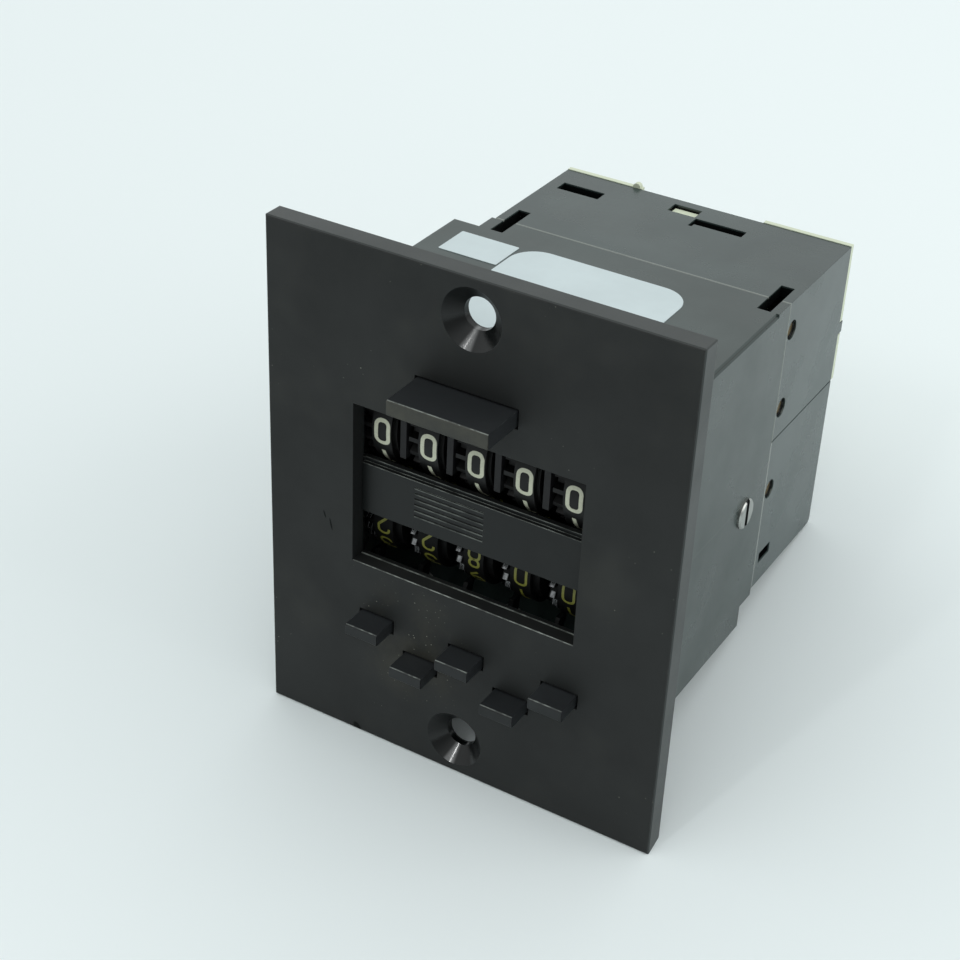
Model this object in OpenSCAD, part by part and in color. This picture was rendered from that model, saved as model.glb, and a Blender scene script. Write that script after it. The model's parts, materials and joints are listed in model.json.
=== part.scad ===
// Electromechanical preset counter for panel mounting.
// X runs to the right, Y from the front plate into the panel, Z up.
// The origin is the centre of the plate's rear face, midway between its two screw holes.

/* [Front plate] */
// Width of the front plate
plate_w = 60; // [56:0.5:70]
// Height of the front plate
plate_h = 75; // [73:0.5:90]
// Thickness of the front plate
plate_t = 3; // [2.6:0.1:4]
// Corner radius of the front plate
plate_corner_r = 0.2; // [0.1:0.1:3]
// Chamfer round the front edge of the plate
plate_chamfer = 0.25; // [0.1:0.05:0.6]
// Distance from the plate's upper and lower edges to the screw holes
screw_edge = 5.5; // [5:0.1:6]
// Diameter of the screw holes
screw_hole_d = 4.4; // [3.2:0.1:4.6]
// Diameter of the countersinks at the plate's face
countersink_d = 8.4; // [6.5:0.1:9]

/* [Window] */
// Width of the window
window_w = 33.4; // [33:0.1:34.4]
// Upper edge of the window, above the plate's centre
window_top = 15.1; // [14.6:0.1:15.6]
// Lower edge of the window, above the plate's centre
window_bottom = -8.9; // [-9.6:0.1:-8.4]
// Upper edge of the bar across the window
bar_top = 5.4; // [4.6:0.1:5.6]
// Lower edge of the bar across the window
bar_bottom = -2; // [-2.6:0.1:-1.4]
// Depth of the bar's face behind the plate's face
bar_recess = 2; // [1.6:0.1:2.4]
// Thickness of the mask frame behind the window
mask_t = 0.8; // [0.6:0.05:0.9]
// Width of the mask frame round the window
mask_margin = 2.2; // [1.5:0.1:2.5]

/* [Wheels] */
// Distance from one wheel to the next
wheel_pitch = 7; // [6.9:0.05:7.1]
// Diameter of the count wheels' drums
count_drum_d = 15.2; // [14.4:0.1:15.4]
// Height of the count shaft
count_z = 10.5; // [10.2:0.1:10.8]
// Place of the count digits' face, behind the plate's rear face
count_front = -0.4; // [-0.6:0.1:0]
// Diameter of the preset wheels' drums
preset_drum_d = 12.4; // [11.6:0.1:12.6]
// Height of the preset shaft
preset_z = -4.6; // [-5:0.1:-4.4]
// Place of the preset digits' face, behind the plate's rear face
preset_front = 1; // [0.8:0.1:1.4]
// Diameter of the wheel shafts
shaft_d = 2.5; // [2:0.1:2.8]
// Teeth on the carry gear of a count wheel
carry_teeth = 20; // [20:10:30]
// Teeth on a transfer pinion
pinion_teeth = 8; // [6:2:10]
// Outer diameter of a transfer pinion
pinion_d = 4.2; // [3.6:0.1:4.4]

/* [Keys] */
// Width of a preset key
key_w = 4.9; // [4:0.1:5.1]
// Height of a preset key
key_h = 1.75; // [1.4:0.05:2]
// How far a preset key stands out of the plate
key_proud = 3.8; // [3:0.1:5]
// How far a preset key moves in
key_travel = 2.4; // [1.5:0.1:2.6]
// Height of the upper row of preset keys
key_upper_z = -17.4; // [-17.6:0.1:-17.2]
// Height of the lower row of preset keys
key_lower_z = -21.6; // [-21.7:0.1:-21.4]
// Width of the reset key
reset_w = 14.2; // [12:0.2:15]
// Height of the reset key
reset_h = 2.2; // [1.8:0.1:2.3]
// How far the reset key stands out of the plate
reset_proud = 6.7; // [5:0.1:8]
// Height of the reset key's middle
reset_z = 20.75; // [20.7:0.05:20.9]

/* [Housing] */
// Width of the front housing
body_w = 49.2; // [48.8:0.1:51]
// Height of the front housing
body_h = 49.8; // [49.6:0.1:51]
// Depth of the front housing, up to its shoulder
body_depth = 32.9; // [32.6:0.1:36]
// Wall of the mouldings
wall = 1.6; // [1.4:0.1:1.8]
// Length of the neck behind the shoulder
neck_len = 3.5; // [3:0.1:5]
// Width of the rear shells
rear_w = 44.5; // [44.2:0.1:45.4]
// Height of the two rear shells together
rear_h = 45.2; // [44.6:0.1:45.6]
// Length of the rear shells
rear_len = 20.9; // [20.5:0.1:26]
// Height of the seam between the two rear shells
seam_z = 3.85; // [2:0.05:5]
// Thickness of the terminal board
board_t = 0.8; // [0.6:0.1:1.6]

/* [Clearances] */
// Radial clearance of what turns on a shaft
running_gap = 0.05; // [0.03:0.01:0.09]
// Radial clearance of a shaft or pin in its seat
seat_gap = 0.02; // [0.01:0.01:0.04]
// Clearance round a key in its slot
slot_gap = 0.3; // [0.2:0.05:0.4]
// End clearance of a wheel between its collars
end_gap = 0.05; // [0.03:0.01:0.08]

/* [Hidden] */
$fn = 48;
wheels = 5;
cut = 1;

// Colours
plate_black = "#232424";
shell_grey = "#3c4042";
wheel_black = "#141414";
board_green = "#c9cdb4";
steel = "#b9bcbd";
brass = "#b08d4a";
copper = "#8a4a2a";

// Casing planes
body_x = [-body_w / 2, body_w / 2];
body_z = [-body_h / 2, body_h / 2];
inner_x = [body_x[0] + wall, body_x[1] - wall];
inner_z = [body_z[0] + wall, body_z[1] - wall];
neck_lip = 0.5;
neck_drop = 1;
rear_x = [body_x[1] - rear_w, body_x[1]];
rear_z = [body_z[1] - rear_h, body_z[1]];
rear_mid = (rear_x[0] + rear_x[1]) / 2;
neck_x = [rear_x[0] - neck_lip, rear_x[1]];
neck_z = [rear_z[0] - neck_drop, rear_z[1]];
seam_y = body_depth + neck_len;
back_y = seam_y + rear_len;
edge_chamfer = 0.5;
seam_bevel = 0.2;

// Latch slots on top, which cross the seam
latch_w = 1.9;
latch_reach = 4.4;
latch_x = 20;

// Side screw and side pins
screw_at = [body_depth - 3.3, -3.75];
screw_d = 3;
screw_head_d = 4.4;
screw_head_h = 0.5;
screw_crown = 0.2;
screw_slot_w = 0.9;
pin_y = seam_y + 1.8;
pin_zs = [20.4, 8.6, -4.4];
pin_d = 2;
pin_hole_d = 2.8;
pin_sink = 0.4;
pin_boss_d = 3.4;
pin_boss_len = 2.5;

// Mask behind the window, let into the plate, and its bar
mask_pocket = 0.6;
mask_y = [-mask_pocket, mask_t - mask_pocket];
mask_side = 0.1;
mask_lip = 0.3;
sill_bevel = 0.15;
mask_rear = 0.4;
bar_step = 0.6;
bar_face = -plate_t + bar_recess;
bar_ledge = bar_face + bar_step;
bar_crest = bar_top + bar_step;

// Side frames
frame_t = 1.2;
frame_boss_left = 2.4;
frame_boss_right = 4.4;
frame_left_x = [inner_x[0] + frame_boss_left, inner_x[0] + frame_boss_left + frame_t];
frame_right_x = [inner_x[1] - frame_boss_right - frame_t, inner_x[1] - frame_boss_right];
between_frames = [frame_left_x[1], frame_right_x[0]];
across_frames = [frame_left_x[0], frame_right_x[1]];
frame_gap = 0.5;
frame_y = [2.5, body_depth - wall - frame_gap];
frame_z = [-19, 20.6];
frame_step_y = 19;
frame_corner = 3;
frame_boss_d = 7;

// Wheel places, and a wheel's layers along its shaft from its digit's middle
wheel_xs = [for (i = [0:wheels - 1]) (i - (wheels - 1) / 2) * wheel_pitch];
count_gear_x = [-3.3, -1.55];
count_drum_x = [-1.55, 1.35];
count_carry_x = [1.35, 1.75];
count_cam_x = [1.75, 2.2];
preset_ratchet_x = [-3.5, -2.6];
preset_drum_x = [-2.05, 0.95];
preset_cam_x = [0.95, 1.9];
drive_ratchet_x = [-4.6, -3.3];
count_at = [count_front + count_drum_d / 2, count_z];
preset_at = [preset_front + preset_drum_d / 2, preset_z];
count_gear_r = count_drum_d / 2 - 0.6;
carry_disc_r = count_drum_d / 2 - 0.8;
tooth_h = 1.1;
cam_r = 2.6;
cam_throw = 0.6;
drive_ratchet_r = 5;
preset_ratchet_r = preset_drum_d / 2 - 0.2;
preset_cam_r = preset_drum_d / 2 - 0.8;
preset_hub_r = preset_drum_d / 2 - 2;
ratchet_teeth = 10;
preset_ratchet_teeth = 20;
collar_d = 4;

// Transfer pinions, lifted clear of the wheels as while the counter is reset
lift_gap = 0.3;
pinion_shaft_d = 1.6;
pinion_collar_d = 2.8;
pinion_angle = 50;
pinion_reach = count_drum_d / 2 + pinion_d / 2 + lift_gap;
pinion_at = count_at + pinion_reach * [cos(pinion_angle), -sin(pinion_angle)];
pinion_x = [count_carry_x[0] + end_gap, wheel_pitch + count_gear_x[1]];

// Wheel comb
finger_x = [2.4, 3.3];
finger_front = 0.2;
finger_z = count_z - 3.2;
comb_plate_z = [count_z + count_drum_d / 2 + 0.35, reset_z - reset_h / 2 - 0.2];
comb_front = mask_y[1] + 0.9;
comb_rear = 13.5;

// Reset key, its bail and springs
reset_x = -0.3;
reset_stop_w = 18.4;
reset_stop_y = [0.1, 2.3];
reset_tail_w = 8.4;
bail_at = [17, 13.6];
bail_shaft_d = 2;
bail_d = 3.6;
bail_arm_x = [-3, 2.4];
bail_arm_y = [-0.8, 0.6];
bail_arm_top = 8.7;
reset_tail_y = bail_at[0] + bail_arm_y[0] - 0.2;
hammer_x = [1.82, 2.15];
hammer_y = [-1.8, -0.2];
hammer_drop = 5;
reset_post_y = [10.5, 11.7];
reset_spring_x = 6.9;
reset_spring_d = 2.4;

// Preset keys, their guide and springs
key_x0 = 1.25;
key_block_w = 4.4;
key_block_h = 3.2;
key_block_y = [0.1, 2.2];
key_stem_d = 1.6;
key_stem_end = 13.6;
key_guide_y = [9.5, 11];
key_guide_top = -13.6;
key_arm_x = [-3.3, -2.65];
key_arm_tip = [3.6, 5.6];
key_arm_tip_z = preset_at[1] - preset_ratchet_r - 0.35;
key_spring_d = 2.9;
spring_wire = 0.4;
spring_seat = 0.05;

// Coil, yoke, armature
coil_at = [-2, 25];
coil_d = 10.5;
coil_z = [-16.2, 6.4];
winding_d = 9.6;
core_d = 4;
tube_d = 5.6;
flange_t = 1;
yoke_t = 1.8;
yoke_x = [-7, 3];
yoke_y = [20, 32.3];
yoke_rear = [yoke_y[1] - yoke_t, yoke_y[1]];
core_top = 7.75;
armature_pin_d = 1.5;
armature_at = [yoke_y[1] - yoke_t / 2, 9.4];
armature_barrel_d = 3;
ear_t = 1.4;
ear_top = 1.2;
armature_x = [yoke_x[0] + ear_t + 0.2, yoke_x[1] - ear_t - 0.2];
armature_z = [8.8, 10];
armature_front = 18.6;
armature_bridge = 2.4;
drive_arm_x = [-18.6, -17.6];
drive_arm_tip = count_at[0] + drive_ratchet_r + 0.7;
armature_spring_at = [-2, 22.5];
armature_spring_d = 3;
tie_rod_d = 3;
tie_spigot_d = 2;
tie_rods_at = [[22.5, 19], [27.5, 14.5]];

// Trip lever and contact block
trip_at = [17.5, -9];
trip_shaft_d = 2;
trip_d = 3.6;
trip_finger_x = [0.9, 1.5];
trip_finger_tip = [14.3, -6.3];
trip_finger_h = 1;
trip_arm_x = [9, 11];
trip_arm_end = 40.4;
trip_arm_t = 1.4;
contact_x = [4, 16];
contact_y = [41, back_y - wall];
contact_z = [-15, -3];

// Terminal board, block and tabs
board_inset = 0.2;
board_gap = [-7.7, 11.4];
board_gap_depth = 2.2;
board_rise = 0.1;
nub_x = -8.6;
nub_d = 1.2;
clip_z = [11.4, 13.1];
clip_w = 1.2;
clip_reach = 0.3;
tab_w = 2.8;
tab_t = 0.8;
tab_len = 7.5;
tab_z = 13;
tab_xs = [-13, -6.5, 0, 6.5, 13];
block_x = [-12, 14];
block_depth = 4.4;
block_z = [8, 20];

// A straight block between two planes on each axis
module span(x, y, z) {
    translate([x[0], y[0], z[0]]) cube([x[1] - x[0], y[1] - y[0], z[1] - z[0]]);
}

// Round bars along each axis; at holds the two other places
module rod_x(d, x, at) {
    translate([x[0], at[0], at[1]]) rotate([0, 90, 0]) cylinder(d = d, h = x[1] - x[0]);
}

module rod_y(d, y, at) {
    translate([at[0], y[0], at[1]]) rotate([-90, 0, 0]) cylinder(d = d, h = y[1] - y[0]);
}

module rod_z(d, z, at) {
    translate([at[0], at[1], z[0]]) cylinder(d = d, h = z[1] - z[0]);
}

// An outline in Y and Z pushed along X, and one in X and Z pushed along Y
module along_x(x, at = [0, 0]) {
    translate([x[0], at[0], at[1]]) rotate([90, 0, 90]) linear_extrude(x[1] - x[0]) children();
}

module along_y(y) {
    translate([0, y[1], 0]) rotate([90, 0, 0]) linear_extrude(y[1] - y[0]) children();
}

// Square bars on edge, which cut 45 degree chamfers along X, Y and Z
module bevel_x(c, x, at) {
    along_x(x, at) rotate(45) square(c * sqrt(2), center = true);
}

module bevel_y(c, y, at) {
    translate([at[0], 0, at[1]]) along_y(y) rotate(45) square(c * sqrt(2), center = true);
}

module bevel_z(c, z, at) {
    translate([at[0], at[1], z[0]]) rotate(45) translate([-c / sqrt(2), -c / sqrt(2), 0])
        cube([c * sqrt(2), c * sqrt(2), z[1] - z[0]]);
}

module round_rect(w, h, r) {
    square([w - 2 * r, h], center = true);
    square([w, h - 2 * r], center = true);
    for (x = [-1, 1], y = [-1, 1]) translate([x * (w / 2 - r), y * (h / 2 - r)]) circle(r);
}

function shifted(span, by) = [span[0] + by, span[1] + by];

function about(middle, width) = [middle - width / 2, middle + width / 2];

function grown(span, by) = [span[0] - by, span[1] + by];

// Straight-sided gear teeth: half widths as shares of the tooth pitch at root and tip
root_share = 0.34;
tip_share = 0.14;
function gear_outline(teeth, tip) = [
    for (i = [0:teeth - 1], k = [0:3])
        let (share = [-root_share, -tip_share, tip_share, root_share][k],
             r = (k == 0 || k == 3) ? tip - tooth_h : tip,
             a = 360 / teeth * (i + share))
            r * [cos(a), sin(a)]];

// Saw teeth: each has a steep side and a long back
steep_share = 0.12;
function ratchet_outline(teeth, tip) = [
    for (i = [0:teeth - 1], k = [0:1])
        let (r = k == 0 ? tip : tip - tooth_h,
             a = 360 / teeth * (i + k * steep_share))
            r * [cos(a), sin(a)]];

// A round wire wound on a helix along +Z
wire_sides = 6;
turn_steps = 10;
module coil_spring(d, wire, len, turns) {
    steps = turns * turn_steps;
    mean_r = (d - wire) / 2;
    pts = [for (s = [0:steps], k = [0:wire_sides - 1])
        let (a = 360 * s / turn_steps, b = 360 * k / wire_sides,
             r = mean_r + wire / 2 * cos(b))
            [r * cos(a), r * sin(a), wire / 2 + (len - wire) * s / steps + wire / 2 * sin(b)]];
    sides = [for (s = [0:steps - 1], k = [0:wire_sides - 1])
        let (n = (k + 1) % wire_sides, base = s * wire_sides)
            [base + k, base + wire_sides + k, base + wire_sides + n, base + n]];
    first = [for (k = [0:wire_sides - 1]) k];
    last = [for (k = [wire_sides - 1:-1:0]) steps * wire_sides + k];
    polyhedron(pts, concat([first], sides, [last]));
}

function key_x(i) = wheel_xs[i] + key_x0;
function key_z(i) = i % 2 == 0 ? key_upper_z : key_lower_z;

// The mask's outer outline, grown on all sides, which is also its pocket in the plate
module mask_outline(by) {
    margin = mask_margin + by;
    translate([-window_w / 2 - margin, window_bottom - margin])
        square([window_w, window_top - window_bottom] + 2 * margin * [1, 1]);
}

module front_plate() color(plate_black) difference() {
    along_y([-plate_t, 0]) difference() {
        round_rect(plate_w, plate_h, plate_corner_r);
        translate([-window_w / 2, window_bottom]) square([window_w, window_top - window_bottom]);
        translate([reset_x, reset_z]) square([reset_w, reset_h] + 2 * slot_gap * [1, 1], center = true);
        for (i = [0:wheels - 1]) translate([key_x(i), key_z(i)])
            square([key_w, key_h] + 2 * slot_gap * [1, 1], center = true);
    }
    sink = (countersink_d - screw_hole_d) / 2;
    for (side = [-1, 1]) {
        rod_y(screw_hole_d, [-plate_t - cut, cut], [0, side * (plate_h / 2 - screw_edge)]);
        translate([0, -plate_t, side * (plate_h / 2 - screw_edge)]) rotate([-90, 0, 0])
            cylinder(d1 = countersink_d, d2 = screw_hole_d, h = sink);
        bevel_x(plate_chamfer, grown([-plate_w / 2, plate_w / 2], cut), [-plate_t, side * plate_h / 2]);
        bevel_z(plate_chamfer, grown([-plate_h / 2, plate_h / 2], cut), [side * plate_w / 2, -plate_t]);
    }
    along_y([mask_y[0], cut]) mask_outline(mask_side);
    for (y = [-plate_t, mask_y[0]])
        bevel_x(sill_bevel, [-window_w / 2, window_w / 2], [y, window_bottom]);
}

// Thin frame behind the window, with the bar that stands forward into it
rib_count = 6;
rib_pitch = 0.85;
rib_w = 0.25;
rib_depth = 0.15;
rib_x = [-8.5, 1.8];
rib_top = 4.4;
module wheel_mask() color(shell_grey) difference() {
    union() {
        along_y(mask_y) difference() {
            mask_outline(0);
            translate([-window_w / 2 - mask_lip, window_bottom - mask_lip])
                square([window_w, window_top - window_bottom] + 2 * mask_lip * [1, 1]);
        }
        along_x([-window_w / 2 + mask_side, window_w / 2 - mask_side]) polygon([
            [bar_face, bar_bottom], [mask_rear, bar_bottom], [mask_rear, bar_crest],
            [bar_ledge, bar_crest], [bar_ledge, bar_top], [bar_face, bar_top]]);
        for (side = [-1, 1]) {
            foot = [window_w / 2 - 2 * mask_side, window_w / 2 + mask_lip + mask_side];
            span(side > 0 ? foot : -[foot[1], foot[0]], mask_y, [bar_bottom, bar_crest]);
        }
    }
    for (i = [0:rib_count - 1])
        span(rib_x, [bar_face - cut, bar_face + rib_depth], about(rib_top - i * rib_pitch, rib_w));
}

// Bevels round the four edges of a box end at one Y
module seam_ring(y, x, z) {
    for (edge = z) bevel_x(seam_bevel, grown(x, cut), [y, edge]);
    for (edge = x) bevel_z(seam_bevel, grown(z, cut), [edge, y]);
}

module front_housing() color(shell_grey) difference() {
    union() {
        span(body_x, [0, body_depth], body_z);
        span(neck_x, [body_depth - wall, seam_y], neck_z);
    }
    span(inner_x, [-cut, body_depth - wall], inner_z);
    span(grown(neck_x, -wall), [body_depth - wall - cut, seam_y + cut], grown(neck_z, -wall));
    for (side = [-1, 1]) span(about(rear_mid + side * latch_x, latch_w),
        [body_depth, seam_y + cut], [body_z[1] - wall - cut, body_z[1] + cut]);
    rod_x(screw_d + 2 * slot_gap, [inner_x[1] - cut, body_x[1] + cut], screw_at);
    bevel_y(edge_chamfer, [-cut, body_depth], [body_x[1], body_z[1]]);
    for (at = [[body_x[0], body_z[0]], [body_x[0], body_z[1]], [body_x[1], body_z[0]]])
        bevel_y(edge_chamfer / 2, [-cut, body_depth + cut], at);
}

// The shared outline of the two rear shells: side walls and one floor or roof
module rear_box(z, closed_z) {
    difference() {
        span(rear_x, [seam_y, back_y], z);
        span(grown(rear_x, -wall), [seam_y - cut, back_y + cut], closed_z);
    }
}

// Bevels where the shells meet each other and the neck
module shell_bevels() {
    seam_ring(seam_y, rear_x, rear_z);
    for (edge = rear_x) bevel_y(seam_bevel, [seam_y - cut, back_y + cut], [edge, seam_z]);
}

module pin_hole(z) {
    rod_x(pin_hole_d, [rear_x[1] - pin_sink, rear_x[1] + cut], [pin_y, z]);
    rod_x(pin_d + 2 * seat_gap, [rear_x[1] - wall - pin_boss_len - cut, rear_x[1] + cut], [pin_y, z]);
}

module pin_boss(z) {
    rod_x(pin_boss_d, [rear_x[1] - wall - pin_boss_len, rear_x[1] - wall / 2], [pin_y, z]);
}

// Slots through the roof of the upper shell: place in X, then in Y from the back edge
roof_slots = [
    [[-18, -11.35], [-6.85, -4.45]],
    [[-1.6, 2.7], [-4.1, -1.6]],
    [[3, 10.8], [-6.2, -4.3]],
    [[3, 3.6], [-7, -6]]];
module rear_upper_shell() color(shell_grey) difference() {
    union() {
        rear_box([seam_z, rear_z[1]], [seam_z - cut, rear_z[1] - wall]);
        pin_boss(pin_zs[0]);
        pin_boss(pin_zs[1]);
        for (x = [[rear_x[1] - clip_w, rear_x[1]], [rear_x[0], rear_x[0] + clip_w]])
            span(x, [back_y - wall, back_y + board_t + clip_reach], clip_z);
    }
    pin_hole(pin_zs[0]);
    pin_hole(pin_zs[1]);
    roof = [rear_z[1] - wall - cut, rear_z[1] + cut];
    for (slot = roof_slots) span(slot[0], shifted(slot[1], back_y), roof);
    for (side = [-1, 1]) span(about(rear_mid + side * latch_x, latch_w),
        [seam_y - cut, seam_y + latch_reach], roof);
    shell_bevels();
}

side_slot_y = [1.4, 5.1];
side_slot_z = [-16.7, -15];
module rear_lower_shell() color(shell_grey) difference() {
    union() {
        rear_box([rear_z[0], seam_z], [rear_z[0] + wall, seam_z + cut]);
        span(rear_x, [back_y - wall, back_y], [rear_z[0], seam_z]);
        pin_boss(pin_zs[2]);
    }
    pin_hole(pin_zs[2]);
    bevel_x(edge_chamfer, grown(rear_x, cut), [back_y, rear_z[0]]);
    bevel_x(seam_bevel, grown(rear_x, cut), [back_y, seam_z]);
    shell_bevels();
    span([rear_x[1] - wall - cut, rear_x[1] + cut], shifted(side_slot_y, seam_y), side_slot_z);
}

module terminal_board() color(board_green) along_y([back_y, back_y + board_t]) difference() {
    top = rear_z[1] + board_rise;
    union() {
        translate([rear_x[0], seam_z + board_inset])
            square([rear_w, top - seam_z - board_inset]);
        translate([nub_x, top]) circle(d = nub_d);
    }
    translate([board_gap[0], top - board_gap_depth])
        square([board_gap[1] - board_gap[0], board_gap_depth + cut]);
    for (x = [rear_x[0] - cut, rear_x[1] - clip_w - board_inset])
        translate([x, clip_z[0] - board_inset])
            square([clip_w + board_inset + cut, clip_z[1] - clip_z[0] + 2 * board_inset]);
    for (x = tab_xs) translate([x, tab_z]) square([tab_w, tab_t] + 2 * seat_gap * [1, 1], center = true);
}

// Flat blade terminals, tapered at their ends, with a hole near the tip
tab_taper = 0.8;
tab_hole_d = 1.2;
module terminal_tabs() color(steel) for (x = tab_xs) difference() {
    tip = back_y + board_t + tab_len;
    translate([x, 0, tab_z - tab_t / 2]) linear_extrude(tab_t) polygon([
        [-tab_w / 2, back_y], [tab_w / 2, back_y], [tab_w / 2, tip - tab_taper],
        [tab_w / 2 - tab_taper, tip], [-tab_w / 2 + tab_taper, tip], [-tab_w / 2, tip - tab_taper]]);
    rod_z(tab_hole_d, [tab_z - tab_t, tab_z + tab_t], [x, tip - 2 * tab_taper - tab_hole_d / 2]);
}

// Moulded block on the board's inner face; its tab shows through a slot in the roof
block_tab_gap = 0.3;
block_tab_sink = 0.5;
module terminal_block() color(board_green) {
    tab_slot = roof_slots[1];
    span(block_x, [back_y - block_depth, back_y], block_z);
    span(grown(tab_slot[0], -block_tab_gap), shifted(grown(tab_slot[1], -block_tab_gap), back_y),
        [block_z[1], rear_z[1] - block_tab_sink]);
}

module side_screw() color(steel) difference() {
    union() {
        rod_x(screw_d, [frame_right_x[0], body_x[1]], screw_at);
        rod_x(screw_head_d, [body_x[1], body_x[1] + screw_head_h - screw_crown], screw_at);
        translate([body_x[1] + screw_head_h - screw_crown, screw_at[0], screw_at[1]]) rotate([0, 90, 0])
            cylinder(d1 = screw_head_d, d2 = screw_head_d - 2 * screw_crown, h = screw_crown);
    }
    span([body_x[1] + screw_head_h / 2, body_x[1] + screw_head_h + cut],
        about(screw_at[0], screw_slot_w), about(screw_at[1], 2 * screw_head_d));
}

module side_pins() color(brass) for (z = pin_zs)
    rod_x(pin_d, [rear_x[1] - wall - pin_boss_len, rear_x[1] - pin_sink], [pin_y, z]);

// Plate of a side frame with every shaft's seat
module side_frame(x) {
    along_x(x) difference() {
        translate([(frame_y[0] + frame_y[1]) / 2, (frame_z[0] + frame_z[1]) / 2])
            round_rect(frame_y[1] - frame_y[0], frame_z[1] - frame_z[0], frame_corner);
        for (seat = [[count_at, shaft_d], [preset_at, shaft_d], [pinion_at, pinion_shaft_d],
                     [bail_at, bail_shaft_d], [trip_at, trip_shaft_d],
                     [tie_rods_at[0], tie_spigot_d], [tie_rods_at[1], tie_spigot_d]])
            translate(seat[0]) circle(d = seat[1] + 2 * seat_gap);
        translate([frame_y[0] - cut, frame_z[0] - cut])
            square([frame_step_y - frame_y[0] + cut, key_guide_top + lift_gap - frame_z[0] + cut]);
    }
}

boss_left_at = [for (z = [15, -13]) [frame_y[1] - frame_boss_d / 2 - frame_gap, z]];
module side_frame_left() color(steel) {
    side_frame(frame_left_x);
    for (at = boss_left_at) rod_x(frame_boss_d, [inner_x[0], frame_left_x[0]], at);
}

module side_frame_right() color(steel) difference() {
    union() {
        side_frame(frame_right_x);
        rod_x(frame_boss_d, [frame_right_x[1], inner_x[1]], screw_at);
    }
    rod_x(screw_d + 2 * seat_gap, [frame_right_x[0] - cut, inner_x[1] + cut], screw_at);
}

module tie_rods() color(steel) for (at = tie_rods_at) {
    rod_x(tie_rod_d, between_frames, at);
    rod_x(tie_spigot_d, across_frames, at);
}

module wheel_comb() color(shell_grey) {
    span(between_frames, [comb_front, comb_rear], comb_plate_z);
    for (i = [0:wheels - 2]) along_x(shifted(finger_x, wheel_xs[i])) polygon([
        [finger_front, finger_z], [count_at[0] - collar_d / 2 - lift_gap, finger_z],
        [count_at[0] - collar_d / 2 - lift_gap, comb_plate_z[0]], [comb_front, comb_plate_z[0]],
        [comb_front, window_top - lift_gap], [finger_front, window_top - lift_gap]]);
    for (side = [-1, 1]) span(about(reset_x + side * reset_spring_x, reset_spring_d),
        reset_post_y, [comb_plate_z[1], reset_z + reset_spring_d / 2]);
}

module key_guide() color(shell_grey) difference() {
    span(inner_x, key_guide_y, [inner_z[0], key_guide_top]);
    for (i = [0:wheels - 1])
        rod_y(key_stem_d + 2 * running_gap, grown(key_guide_y, cut), [key_x(i), key_z(i)]);
}

// A shaft through both frames with collars in the stretches that its wheels leave free
module collared_shaft(d, collar, at, free) {
    rod_x(d, across_frames, at);
    for (x = free) rod_x(collar, x, at);
}

function free_spans(first, last, from, to) = concat(
    [[between_frames[0], wheel_xs[0] + first]],
    [for (i = [0:to - from - 1]) [wheel_xs[i] + last, wheel_xs[i + 1] + first]],
    [[wheel_xs[to] + last, between_frames[1]]]);

module count_shaft() color(steel) {
    spans = free_spans(count_gear_x[0] - end_gap, count_cam_x[1] + end_gap, 0, wheels - 1);
    drive_end = [between_frames[0], wheel_xs[0] + drive_ratchet_x[0] - end_gap];
    inner_spans = [for (i = [1:wheels]) spans[i]];
    collared_shaft(shaft_d, collar_d, count_at, concat([drive_end], inner_spans));
}

module preset_shaft() color(steel) collared_shaft(shaft_d, collar_d, preset_at,
    free_spans(preset_ratchet_x[0] - end_gap, preset_cam_x[1] + end_gap, 0, wheels - 1));

module pinion_shaft() color(steel) collared_shaft(pinion_shaft_d, pinion_collar_d, pinion_at,
    free_spans(pinion_x[0] - end_gap, pinion_x[1] + end_gap, 0, wheels - 2));

module bail_shaft() color(steel) rod_x(bail_shaft_d, across_frames, bail_at);

module trip_shaft() color(steel) rod_x(trip_shaft_d, across_frames, trip_at);

module armature_pin() color(steel) rod_x(armature_pin_d, yoke_x, armature_at);

// Count wheel: carry gear, digit drum, disc with two carry teeth and an eccentric reset cam
carry_tooth_angle = 9;
module count_wheel(i) color(wheel_black) difference() {
    x = wheel_xs[i];
    union() {
        along_x(shifted(count_gear_x, x), count_at) polygon(gear_outline(carry_teeth, count_gear_r));
        rod_x(count_drum_d, shifted(count_drum_x, x), count_at);
        rod_x(2 * carry_disc_r, shifted(count_carry_x, x), count_at);
        for (a = [-carry_tooth_angle, carry_tooth_angle])
            along_x(shifted(count_carry_x, x), count_at) rotate(a)
                translate([0, -tooth_h / 4]) square([count_gear_r, tooth_h / 2]);
        along_x(shifted(count_cam_x, x), count_at) translate([-cam_throw, 0]) circle(cam_r);
        if (i == 0) along_x(shifted(drive_ratchet_x, x), count_at)
            polygon(ratchet_outline(ratchet_teeth, drive_ratchet_r));
    }
    rod_x(shaft_d + 2 * running_gap, grown([x + drive_ratchet_x[0], x + count_cam_x[1]], cut), count_at);
}

// Preset wheel: ratchet, digit drum and a cam disc with a notch that the trip lever senses
notch_w = 1.6;
notch_depth = 1;
module preset_wheel(i) color(wheel_black) difference() {
    x = wheel_xs[i];
    union() {
        along_x(shifted(preset_ratchet_x, x), preset_at)
            polygon(ratchet_outline(preset_ratchet_teeth, preset_ratchet_r));
        rod_x(2 * preset_hub_r, [x + preset_ratchet_x[1], x + preset_drum_x[0]], preset_at);
        rod_x(preset_drum_d, shifted(preset_drum_x, x), preset_at);
        along_x(shifted(preset_cam_x, x), preset_at) difference() {
            circle(preset_cam_r);
            translate([preset_cam_r - notch_depth, -notch_w / 2]) square([notch_depth + cut, notch_w]);
        }
    }
    rod_x(shaft_d + 2 * running_gap, grown([x + preset_ratchet_x[0], x + preset_cam_x[1]], cut), preset_at);
}

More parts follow.
